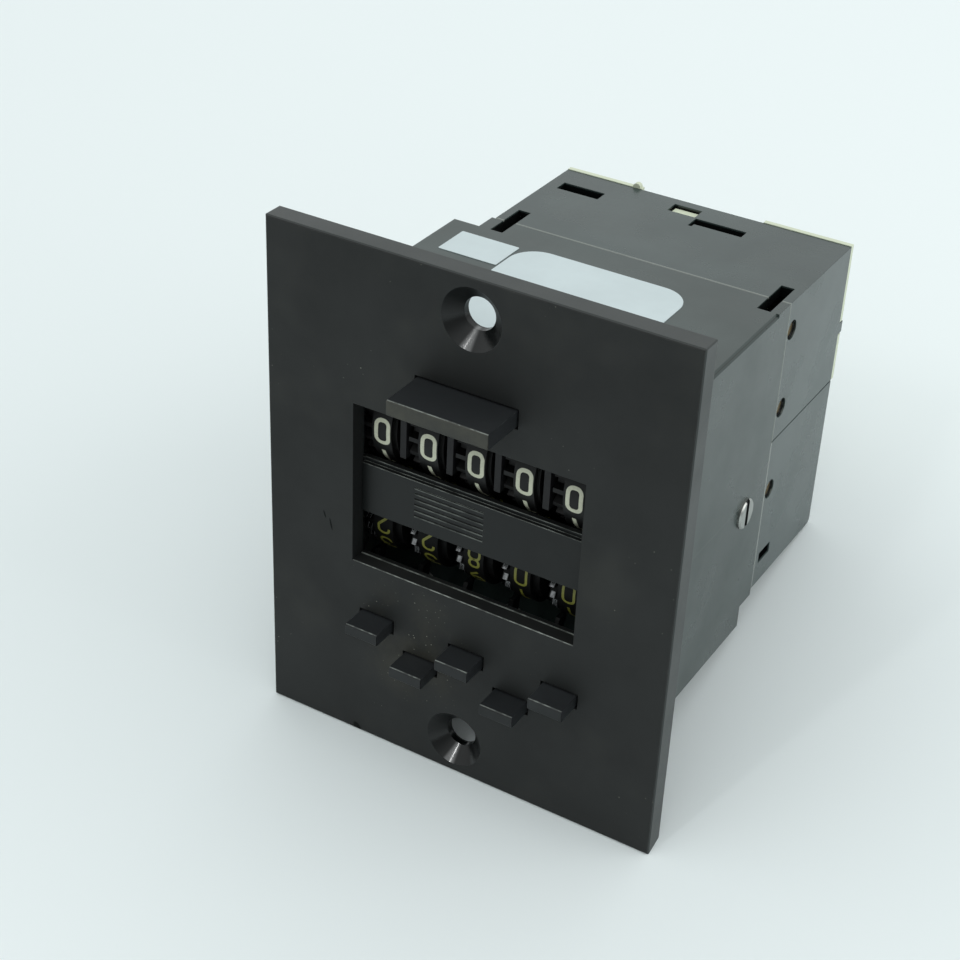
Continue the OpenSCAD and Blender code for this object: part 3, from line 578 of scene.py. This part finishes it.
class COUNTER_OT_casing(bpy.types.Operator):
    """Matte plate, satin housing and shells, and the bar in the window"""

    bl_idname = "counter.casing"
    bl_label = "Casing finishes"

    sink_r = 4.22 * MM
    sink_y = -0.2 * MM
    polish_z = (-0.4 * MM, 1.8 * MM)
    scrape_lean = 0.18
    scrape_spread = 0.26
    scrape_edge = (0.0, -0.6 * MM)
    face_depth = 0.1 * MM
    rim_w = 0.3 * MM
    rim_share = 0.8
    grime_at = (-7.0 * MM, -19.2 * MM)
    grime_r = 11.0 * MM
    grime = (140.0, 4.0, 0.35, 0.7)
    grime_share = 0.35
    crumbs = (1500.0, 0.13)
    crumb_patches = (300.0, 3.0, 0.45, 0.6)
    # Dark marks: place, half width, half height in millimetres, and lean. The first is a chip in the lower
    # edge, painted as a dark patch that is partly painted shade of its notch; the others are scuffs.
    marks = (
        (-15.7, -37.2, 0.75, 1.1, -0.45),
        (-21.16, -3.3, 0.16, 0.65, -1.3),
        (-20.15, -4.55, 0.17, 1.05, -1.4),
    )
    mark_edge = (1.0, 0.4)
    mark_share = 0.8
    sill_streaks = (700.0, 4.0, 0.35, 0.65)
    sill_x = 16.7 * MM
    sill_z = -8.9 * MM
    sill_y = -1.0 * MM
    head_z = 15.1 * MM
    seam_w = 0.22 * MM
    seam_line = 0.352 * MM
    seam_share = 0.85
    roof_t = 3.0 * MM
    part_line_z = -2.0 * MM
    part_line_w = (0.09 * MM, 0.03 * MM)
    part_line_share = 0.35
    mask_streaks = (400.0, 4.0, 0.35, 0.65)
    mask_squarely = (0.86, 0.95)
    mask_up = (0.7, 0.95)
    rib_x = (-8.5 * MM, 1.8 * MM)
    rib_z = (-0.2 * MM, 4.275 * MM)
    rib_pitch = 0.85 * MM
    rib_lip = 0.14 * MM

    def plate(self, colours, edge):
        """The plate: matte, with smoother edges and countersinks, grime, marks, painted shade in its
        countersinks and window walls, and painted highlights along the sill.
        """
        f = moulding("plate_matte", colours.plate, colours, edge,
                     roughness=0.64, grain=0.35, dusty=1.0, wear_and_highlight=0.3)
        x, y, z = f.axes()
        low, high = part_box("front_plate")
        face = y < low[1] + self.face_depth
        hole_z = hole_height()
        up = abs(z) - hole_z
        sink = ((x * x + up * up) < self.sink_r ** 2) * (y < self.sink_y)
        out = x.math("MAXIMUM", abs(x) - high[0], abs(z) - high[2])
        rim = (y > low[1] + self.face_depth) * (out > -self.rim_w)
        f.layer(rim * self.rim_share, colours.plate_rim)
        over, aside = z - self.grime_at[1], x - self.grime_at[0]
        grimy = f.ramp(over * over + aside * aside, self.grime_r ** 2, 0.0) * face
        f.layer(grimy * f.clouds(*self.grime, most=self.grime_share), colours.grime)
        f.layer(grimy * f.specks(*self.crumbs) * f.clouds(*self.crumb_patches), colours.dust)
        # Painted shade: the countersinks and the window's side walls are darkened.
        walls = (abs(abs(x) - self.sill_x) < 0.1 * self.rim_w) * (z > self.sill_z) * (z < self.head_z)
        f.layer(sink + walls, colours.shade)
        dark = 0.0
        for at_x, at_z, half_w, half_h, lean in self.marks:
            rise = (z - at_z * MM) * (1 / (half_h * MM))
            shift = (x - at_x * MM) * (1 / (half_w * MM)) - lean * rise
            dark = dark + f.ramp(rise * rise + shift * shift, *self.mark_edge, most=self.mark_share) * face
        f.layer(dark, colours.shade)
        # Painted highlights: bright lines in the wear colour along the sill's upper front edge and its inner
        # edge.
        sill = abs(z - self.sill_z)
        rub_and_highlight = f.facing(edge, UPPER_FRONT, *SQUARELY) * (sill < 0.3 * self.rim_w)
        inner = (sill < 0.1 * self.rim_w) * (y > self.sill_y) * (abs(x) < self.sill_x)
        streaks = f.clouds(*self.sill_streaks, least=0.2)
        f.layer(rub_and_highlight * streaks, colours.wear_and_highlight, 1.5)
        f.layer(inner * streaks, colours.wear_and_highlight, 1.4)
        below = ((z > 0.0) * 2.0 - 1.0) * hole_z - z
        polished = sink * f.ramp(below, *self.polish_z)
        off = abs(x + self.scrape_lean * below) - self.scrape_spread * below
        scraped = polished * f.ramp(off, *self.scrape_edge)
        f.shade(roughness=f.gloss + 0.25 * walls - 0.24 * rim - 0.2 * sink - 0.35 * polished,
                specular_ior_level=0.36, metallic=dark, coat_weight=scraped, coat_roughness=0.1, coat_ior=2.0)
        paint(f.material, "front_plate")

    def shell(self, name, colours, edge):
        """A rear shell: satin outside, with painted shade inside and a painted highlight as a pale line where
        it meets the housing.
        """
        f = moulding(f"{name}_satin", colours.shell, colours, edge,
                     roughness=0.27, grain=0.12, dusty=0.4, wear_and_highlight=0.2, rub_and_highlight=0.6)
        y = f.axes()[1]
        low, high = [Vector(corner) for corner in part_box(name)]
        # Painted highlight: a pale line in the wear colour along the front edge that meets the housing.
        f.layer((y < low.y + self.seam_line) * self.seam_share, colours.wear_and_highlight)
        # Painted shade: everything inside the shell's box, walls of the slots included, is darkened.
        low.y -= self.roof_t
        f.layer(within(f, low, high, self.seam_w), colours.shade)
        paint(f.material, name)

    def housing(self, colours, edge):
        """The front housing: satin outside, with painted shade inside and a faint parting line on the right.
        """
        f = moulding("housing_satin", colours.housing, colours, edge,
                     roughness=0.31, grain=0.14, dusty=0.45, wear_and_highlight=0.2, rub_and_highlight=0.6)
        x, _, z = f.axes()
        line = f.ramp(abs(z - self.part_line_z), *self.part_line_w, most=self.part_line_share)
        f.layer(line * (x > 0.0), colours.wear_and_highlight, 0.6)
        # Painted shade: everything inside the housing's box, walls of its slots included, is darkened.
        low, high = [Vector(corner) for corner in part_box("front_housing")]
        low.x, low.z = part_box("rear_upper_shell")[0][0], high.z - self.roof_t
        high.y += self.roof_t
        f.layer(within(f, low, high, self.seam_w), colours.shade)
        paint(f.material, "front_housing", "key_guide")

    def mask(self, colours, edge):
        """The bar in the window: satin, with painted highlights along its upper edges and the lips of its
        grooves, and dull where it looks up.
        """
        f = moulding("mask_satin", colours.mask, colours, edge,
                     roughness=0.42, grain=0.2, dusty=0.5, wear_and_highlight=0.4)
        x, y, z = f.axes()
        streaks = f.clouds(*self.mask_streaks, least=0.2, most=0.9)
        # Painted highlight: the wear colour on the bar's upper front edges that face between the key light
        # and the camera.
        worn = f.facing(2 * edge, UPPER_FRONT, *self.mask_squarely) * (z > self.rib_z[1])
        f.layer(worn * streaks, colours.wear_and_highlight, 1.8)
        # Painted highlights: thin bright lines along the lower lips of the grooves in the bar's face.
        ribs = (x > self.rib_x[0]) * (x < self.rib_x[1]) * (z > self.rib_z[0]) * (z < self.rib_z[1])
        lips = ((self.rib_z[1] - z) % self.rib_pitch) < self.rib_lip
        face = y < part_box("wheel_mask")[0][1] + self.face_depth
        f.layer(ribs * lips * streaks * face, colours.wear_and_highlight, 0.7)
        dull = f.facing(edge, (0.0, 0.0, 1.0), *self.mask_up)
        f.shade(roughness=f.gloss + 0.35 * dull, specular_ior_level=0.27)
        paint(f.material, "wheel_mask")

    def execute(self, context):
        sizes, colours = context.scene.counter_sizes, context.scene.counter_colours
        self.plate(colours, sizes.edge_round)
        self.housing(colours, sizes.edge_round)
        for name in ("rear_upper_shell", "rear_lower_shell"):
            self.shell(name, colours, sizes.edge_round)
        self.mask(colours, sizes.edge_round)
        paint(plain("comb_grey", colours.comb, 0.5, specular=0.25), "wheel_comb")
        return {"FINISHED"}


class COUNTER_OT_keys(bpy.types.Operator):
    """Black keys with dull fronts, worn edges, painted highlights on their upper front edges and painted
    shade on the preset fronts and the inner ends
    """

    bl_idname = "counter.keys"
    bl_label = "Key finishes"

    front_patches = (260.0, 5.0, 0.25, 0.75)
    streaks = (800.0, 4.0, 0.4, 0.6)
    film_depth = (0.3 * MM, 0.05 * MM)
    rub_and_highlight_depth = 0.1 * MM
    dark_y = (0.0, 0.3 * MM)
    reset_film = 0.65
    # The preset keys' fronts are darkened with the plate's colour as painted shade; the reset key's front has
    # a handling film.
    preset_front_shade = 0.75

    def black(self, name, colours, edge, film, amount):
        """A key: its front has a handling film on the reset key and painted shade on the preset keys, its
        upper front edge has a painted highlight and its inner end has painted shade.
        """
        f = moulding(f"{name}_black", colours.key, colours, edge,
                     roughness=0.4, grain=0.25, dusty=0.8, wear_and_highlight=0.25)
        f.shade(specular_ior_level=0.22)
        y = f.axes()[1]
        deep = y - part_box(name)[0][1]
        patchy_front = f.clouds(*self.front_patches, least=0.4 * amount, most=amount)
        # The front layer: handling film on the reset key, painted shade on the preset keys.
        f.layer(f.ramp(deep, *self.film_depth) * patchy_front, film)
        # Painted highlight: the wear colour in streaks on the upper front edge, where it faces between the
        # key light and the camera.
        rub_and_highlight = f.facing(edge, UPPER_FRONT, *SQUARELY) * (deep > self.rub_and_highlight_depth)
        f.layer(rub_and_highlight * f.clouds(*self.streaks, least=0.2, most=0.9), colours.wear_and_highlight)
        # Painted shade: the part of the key behind the plate is darkened.
        f.layer(f.ramp(y, *self.dark_y), colours.shade)
        paint(f.material, name)

    def execute(self, context):
        sizes, colours = context.scene.counter_sizes, context.scene.counter_colours
        self.black("reset_key", colours, sizes.edge_round, colours.soil, self.reset_film)
        for i in WHEELS:
            self.black(f"preset_key_{i}", colours, sizes.edge_round, colours.plate, self.preset_front_shade)
        return {"FINISHED"}


class COUNTER_OT_wheels(bpy.types.Operator):
    """Black drums with steel ratchets on the preset wheels"""

    bl_idname = "counter.wheels"
    bl_label = "Wheel finishes"

    tarnish = (1500.0, 3.0, 0.35, 0.65)
    teeth_out = 0.6
    teeth_half = (0.4, 0.2)

    def presets(self, sizes, colours):
        """The preset wheels: black drums, each with steel on the ratchet beside it, laid in narrow stripes on
        the tooth tips that show as painted highlights.
        """
        f = Finish("preset_wheel_black")
        f.tone(f.clouds(*CLOUDS), colours.wheel, 0.9, 1.1)
        x, y, z = f.axes()
        start, face_y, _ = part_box("preset_wheel_1")[0]
        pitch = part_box("preset_wheel_3")[0][0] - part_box("preset_wheel_2")[0][0]
        axis = axis_of("preset_wheel_1")
        out, up = y - axis.y, z - axis.z
        reach = axis.y - face_y - sizes.tooth_h
        _, ahead, above = f.axes("Normal")
        # Painted highlight: steel only on the outward faces of the tooth tips, fading across a narrow stripe,
        # so the teeth show separate glints.
        tips = (out * out + up * up > reach * reach) * (ahead * out + above * up > self.teeth_out * reach)
        across = abs(((x - start) % pitch) - sizes.ratchet_w / 2)
        steel = f.ramp(across, *[share * sizes.ratchet_w for share in self.teeth_half]) * tips
        f.layer(steel * f.clouds(*self.tarnish, least=0.5), colours.ratchet)
        f.shade(metallic=steel, roughness=0.5 - 0.26 * steel, specular_ior_level=0.1)
        paint(f.material, *[f"preset_wheel_{i}" for i in WHEELS])

    def execute(self, context):
        sizes, colours = context.scene.counter_sizes, context.scene.counter_colours
        self.presets(sizes, colours)
        black = plain("count_wheel_black", colours.wheel, 0.45, specular=0.25)
        paint(black, *[f"count_wheel_{i}" for i in WHEELS])
        return {"FINISHED"}


class COUNTER_OT_movement(bpy.types.Operator):
    """Steel, brass and copper of the movement, and the pale terminal pieces"""

    bl_idname = "counter.movement"
    bl_label = "Movement finishes"

    slot_w = 0.92 * MM
    slot_depth = (0.01 * MM, 0.26 * MM)
    turn_pitch = 0.4 * MM
    turn_depth = 0.1 * MM

    def screw(self, colours):
        """The side screw: dull steel with painted shade in its slot."""
        f = Finish("screw_steel")
        x, y, _ = f.axes()
        low, high = [Vector(corner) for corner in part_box("side_screw")]
        deep = high.x - x
        slot = (deep > self.slot_depth[0]) * (deep < self.slot_depth[1])
        slot = slot * (abs(y - (low.y + high.y) / 2) < self.slot_w / 2)
        cloud = f.clouds(*CLOUDS)
        f.tone(cloud, colours.screw, 0.92, 1.04)
        # Painted shade: the slot's floor and walls are darkened and not metallic.
        f.layer(slot, colours.shade)
        paint(f.shade(metallic=1.0 - slot, roughness=cloud * 0.12 + 0.24 + 0.3 * slot), "side_screw")

    def coil(self, colours):
        """The coil: copper turns, each darker towards the next as painted shade in the creases between turns.
        """
        f = Finish("coil_copper")
        half = self.turn_pitch / 2
        turns = abs((f.axes()[2] % self.turn_pitch) - half) * (1 / half)
        bump = f.node("ShaderNodeBump", {}, {"Strength": 0.6, "Distance": self.turn_depth, "Height": turns})
        # Painted shade: each turn darkens towards the creases between turns.
        f.tone(turns, colours.copper, 1.1, 0.7)
        paint(f.shade(metallic=0.8, roughness=0.35, normal=bump), "coil_winding")

    def execute(self, context):
        colours = context.scene.counter_colours
        steel = plain("movement_steel", colours.steel, 0.32, metallic=1.0)
        paint(steel, "side_frame_left", "side_frame_right", "tie_rods", "count_shaft", "preset_shaft",
              "pinion_shaft", "bail_shaft", "trip_shaft", "armature_pin", "reset_springs", "reset_bail",
              "magnet_yoke", "armature", "armature_spring", "trip_lever",
              *[f"preset_spring_{i}" for i in WHEELS])
        paint(plain("dull_steel", colours.screw, 0.3, metallic=1.0), "terminal_tabs")
        self.screw(colours)
        brass = plain("turned_brass", colours.brass, 0.35, metallic=1.0)
        paint(brass, *[f"transfer_pinion_{i}" for i in PINIONS])
        paint(plain("tarnished_brass", colours.pin, 0.4, metallic=1.0), "side_pins")
        self.coil(colours)
        paint(plain("bobbin_cream", colours.bobbin, 0.5), "coil_bobbin")
        board = plain("board_pale", colours.board, 0.55, variation=0.04)
        paint(board, "terminal_board", "terminal_block", "contact_block")
        return {"FINISHED"}


class COUNTER_OT_digits(bpy.types.Operator):
    """White digits on the count wheels and yellow ones on the preset wheels"""

    bl_idname = "counter.digits"
    bl_label = "Digits"

    count_edge = 2.2 * MM
    count_shown = (0, 0, 0, 0, 0)
    preset_edge = 2.35 * MM
    preset_shown = (2, 2, 8, 0, 0)
    blots = 2500.0

    def execute(self, context):
        sizes, colours = context.scene.counter_sizes, context.scene.counter_colours
        white = plain("digit_white", colours.count_ink, 0.5, per_metre=self.blots)
        yellow = plain("digit_yellow", colours.preset_ink, 0.5, per_metre=self.blots)
        for i, count, preset in zip(WHEELS, self.count_shown, self.preset_shown):
            body = f"count_wheel_{i}"
            wheel_digits(f"count_digits_{i}", body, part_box(body)[1][0] - self.count_edge, count,
                         sizes.count_digit_w, sizes.count_digit_h, sizes.count_stroke, sizes.ink, white)
            body = f"preset_wheel_{i}"
            wheel_digits(f"preset_digits_{i}", body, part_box(body)[1][0] - self.preset_edge, preset,
                         sizes.preset_digit_w, sizes.preset_digit_h, sizes.preset_stroke, sizes.ink, yellow)
        return {"FINISHED"}


class COUNTER_OT_stickers(bpy.types.Operator):
    """Two bare paper stickers on top of the front housing"""

    bl_idname = "counter.stickers"
    bl_label = "Stickers"

    # Spans in X and Y, in millimetres
    small = ((-21.3, -12.3), (23.75, 30.1))
    large = ((-12.0, 13.4), (5.5, 31.0))
    small_r = 0.2 * MM
    corner_steps = 10
    fibres = 120.0

    def sticker(self, name, spans, radius, thickness, material):
        """A flat sheet with rounded corners on the housing's top."""
        (x0, x1), (y0, y1) = [[value * MM for value in span] for span in spans]
        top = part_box("front_housing")[1][2]
        bm = bmesh.new()
        bmesh.ops.create_grid(bm, x_segments=1, y_segments=1, size=0.5)
        bmesh.ops.scale(bm, vec=(x1 - x0, y1 - y0, 1), verts=bm.verts)
        bmesh.ops.translate(bm, vec=((x0 + x1) / 2, (y0 + y1) / 2, top), verts=bm.verts)
        bmesh.ops.bevel(bm, geom=bm.verts[:], offset=radius, affect="VERTICES", segments=self.corner_steps,
                        profile=0.5, material=-1)
        grown = bmesh.ops.extrude_face_region(bm, geom=bm.faces[:])["geom"]
        bmesh.ops.translate(bm, vec=(0, 0, thickness), verts=verts_in(grown))
        return piece(name, bm, material, "casing")

    def execute(self, context):
        sizes, colours = context.scene.counter_sizes, context.scene.counter_colours
        paper = plain("sticker_paper", colours.paper, 0.5, variation=0.07, per_metre=self.fibres)
        self.sticker("sticker_small", self.small, self.small_r, sizes.sticker_t, paper)
        self.sticker("sticker_large", self.large, sizes.sticker_r, sizes.sticker_t, paper)
        return {"FINISHED"}


class COUNTER_OT_springs(bpy.types.Operator):
    """Merged copies of the springs that stand in for their nodes, riding on the body that holds a sliding key
    or fixed where they stand
    """

    bl_idname = "counter.springs"
    bl_label = "Springs"

    same = 0.001 * MM

    def coils(self, node, material, body):
        """A copy of a spring's node with its points merged."""
        bm = bmesh.new()
        bm.from_mesh(frame["nodes"][node].data)
        bmesh.ops.remove_doubles(bm, verts=bm.verts, dist=self.same)
        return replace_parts(piece(f"{node}_coils", bm, material, body), node)

    def execute(self, context):
        steel = plain("spring_steel", context.scene.counter_colours.steel, 0.32, metallic=1.0)
        for joint in frame["joints"]:
            for entry in joint.get("deforming_nodes", []):
                if joint["type"] == "slide":
                    made = self.coils(entry["node"], steel, joint["parent"])
                    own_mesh(made)
                else:
                    made = self.coils(entry["node"], steel, None)
                    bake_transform(made)
        return {"FINISHED"}


class COUNTER_OT_stage(bpy.types.Operator):
    """Pale floor, soft light and a camera at the photograph's angle"""

    bl_idname = "counter.stage"
    bl_label = "Stage"

    sensor = 36.0
    clip_start = 5 * MM
    camera_at = Vector((101.707, -176.899, 137.982)) * MM
    camera_right = Vector((0.85446, 0.51801, 0.0396))
    camera_down = Vector((0.30708, -0.4421, -0.84276))
    camera_ahead = Vector((-0.41906, 0.73226, -0.53683))
    floor_steps = 34
    floor_growth = 1.25
    floor_first = 0.05
    floor_roughness = 0.9
    aim = Vector((0, 25 * MM, 0))
    lamp_distance = 0.9
    key_way = Vector((-0.198, -0.663, 0.733))
    key_size = (0.03, 0.2)
    side_way = Vector((0.84, 0.18, 0.48))
    side_size = (0.6, 0.6)
    sky_way = (-0.2, 0.2, 0.9)
    sky_span = (-0.1, 0.7)

    def camera(self, lens):
        """The camera with its place and axes fitted to the photograph."""
        data = bpy.data.cameras.new("camera")
        data.lens, data.sensor_width, data.clip_start = lens, self.sensor, self.clip_start
        made = put("camera", data)
        turn = Matrix((self.camera_right, -self.camera_down, -self.camera_ahead)).transposed()
        made.matrix_world = Matrix.Translation(self.camera_at) @ turn.to_4x4()
        bpy.context.scene.camera = made

    def floor(self, colour, bend):
        """A slope under the plate's lower edge and the body's rear edge that levels out gently."""
        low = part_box("front_plate")[0]
        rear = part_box("rear_lower_shell")
        front, back = Vector((low[1], low[2])), Vector((rear[1][1], rear[0][2]))
        slope = (back.y - front.y) / (back.x - front.x)
        ways = [bend * self.floor_first * (self.floor_growth ** n - 1) for n in range(self.floor_steps)]
        rises = [slope * bend * (1 - math.exp(-way / bend)) for way in ways]
        points = [(front.x - way, front.y - rise) for way, rise in zip(reversed(ways), reversed(rises))]
        points += [(back.x + way, back.y + rise) for way, rise in zip(ways, rises)]
        reach = -points[0][0]
        bm = bmesh.new()
        edge = bm.edges.new([bm.verts.new((x, *points[0])) for x in (-reach, reach)])
        for (y0, z0), (y1, z1) in zip(points, points[1:]):
            edge = push_edge(bm, edge, (0, y1 - y0, z1 - z0))
        pale = Finish("floor_pale").shade(base_color=rgba(colour), roughness=self.floor_roughness)
        mesh = mesh_of("floor", bm, pale)
        mesh.shade_smooth()
        put("floor", mesh)

    def lamp(self, name, way, size, power):
        """A flat light that looks at the part from one way."""
        data = bpy.data.lights.new(name, "AREA")
        data.shape, data.energy = "RECTANGLE", power
        data.size, data.size_y = size
        made = put(name, data)
        made.location = self.aim + way * self.lamp_distance
        made.rotation_euler = (-way).to_track_quat("-Z", "Y").to_euler()

    def surround(self, stage):
        """Soft light that is strongest overhead and leans to the rear left."""
        world = bpy.context.scene.world or bpy.data.worlds.new("surround")
        bpy.context.scene.world = world
        world.use_nodes = True
        sky = Nodes(world.node_tree)
        height = sum(axis * share for axis, share in zip(sky.axes("Generated"), self.sky_way))
        level = sky.ramp(height, *self.sky_span, stage.sky_low, stage.sky_high)
        back = world.node_tree.nodes["Background"]
        sky.feed(back.inputs["Color"], rgba(stage.sky))
        sky.feed(back.inputs["Strength"], level)

    def execute(self, context):
        stage = context.scene.counter_stage
        self.camera(stage.lens)
        self.floor(stage.floor, stage.floor_bend)
        self.lamp("key_light", self.key_way, self.key_size, stage.key_power)
        self.lamp("side_light", self.side_way, self.side_size, stage.side_power)
        self.surround(stage)
        context.scene.view_settings.view_transform = "Standard"
        return {"FINISHED"}


OPERATORS = (
    COUNTER_OT_casing,
    COUNTER_OT_keys,
    COUNTER_OT_wheels,
    COUNTER_OT_movement,
    COUNTER_OT_digits,
    COUNTER_OT_stickers,
    COUNTER_OT_springs,
    COUNTER_OT_stage,
)
GROUPS = {"counter_sizes": CounterSizes, "counter_colours": CounterColours, "counter_stage": CounterStage}


class COUNTER_PT_sidebar(bpy.types.Panel):
    """Sizes, colours and steps of the counter"""

    bl_idname = "COUNTER_PT_sidebar"
    bl_label = "Panel counter"
    bl_space_type = "VIEW_3D"
    bl_region_type = "UI"
    bl_category = "Counter"

    def draw(self, context):
        for name, group in GROUPS.items():
            column = self.layout.column()
            for key in group.__annotations__:
                column.prop(getattr(context.scene, name), key)
        for operator in OPERATORS:
            self.layout.operator(operator.bl_idname)


CLASSES = (*GROUPS.values(), *OPERATORS, COUNTER_PT_sidebar)


def register():
    for entry in CLASSES:
        bpy.utils.register_class(entry)
    for key, group in GROUPS.items():
        setattr(bpy.types.Scene, key, PointerProperty(type=group))


def unregister():
    for key in GROUPS:
        delattr(bpy.types.Scene, key)
    for entry in reversed(CLASSES):
        bpy.utils.unregister_class(entry)


def main():
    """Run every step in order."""
    register()
    for operator in OPERATORS:
        group, step = operator.bl_idname.split(".")
        getattr(getattr(bpy.ops, group), step)()


if __name__ == "__main__":
    main()
